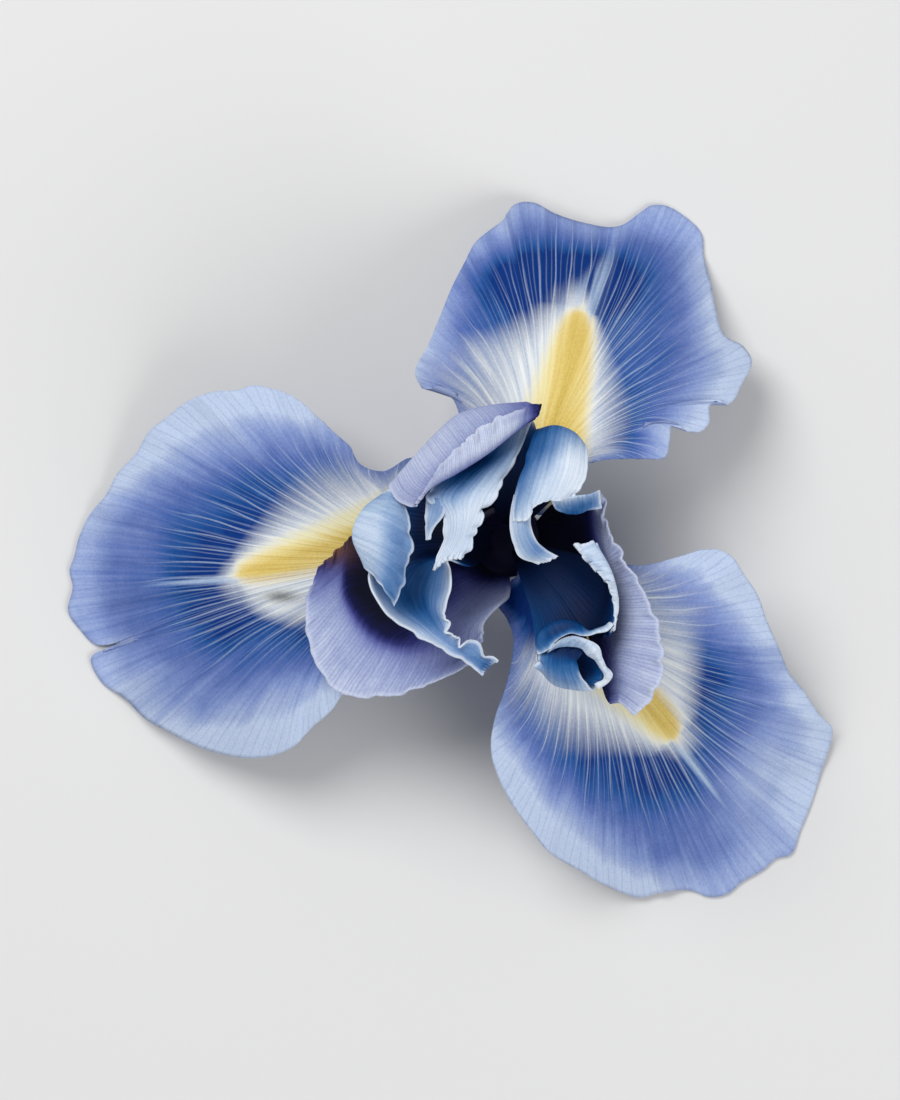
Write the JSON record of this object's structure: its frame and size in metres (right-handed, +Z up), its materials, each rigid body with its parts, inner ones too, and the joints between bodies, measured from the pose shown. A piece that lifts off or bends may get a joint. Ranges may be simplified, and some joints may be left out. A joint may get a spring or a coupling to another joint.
{
  "type": "iris flower",
  "caption": "Open iris flower with broad drooping veined falls, lavender standards, arched crested style arms over the stamens, and a short cut stalk, lying face up.",
  "frame": {"origin": "centre of the bounding box on the surface the flower lies on; the flower's own axis stands 8.9 mm along +X and 1.65 mm along +Y from it", "axes": "+Z up out of the open flower; +Y towards the fall that points up in the plan; +X towards the right-hand fall, along the flower's greatest width"},
  "size_m": [0.1237, 0.1123, 0.0459],
  "materials": {
    "fall_petal": "soft matt blue petal, pale at the margin, dark around a white and yellow signal, with fine radiating veins",
    "standard_petal": "soft matt lavender petal with faint purple veins",
    "style_petal": "soft satin pale blue petal, blue underneath, white at the ragged margins",
    "stamen_filament": "smooth pale blue-white thread",
    "anther_pollen": "matt cream with pollen",
    "perianth_green": "smooth green shading to pale blue",
    "green_stalk": "smooth fresh green"
  },
  "bodies": {
    "root": {"pedicel": "green_stalk", "ovary": "green_stalk", "perianth_tube": "perianth_green", "fall_left": "fall_petal", "fall_right": "fall_petal", "fall_upper": "fall_petal", "standard_upper_left": "standard_petal", "standard_right": "standard_petal", "standard_lower_left": "standard_petal", "style_arm_left": "style_petal", "style_arm_right": "style_petal", "style_arm_upper": "style_petal", "filament_left": "stamen_filament", "filament_right": "stamen_filament", "filament_upper": "stamen_filament", "anther_left": "anther_pollen", "anther_right": "anther_pollen", "anther_upper": "anther_pollen"}
  },
  "joints": []
}
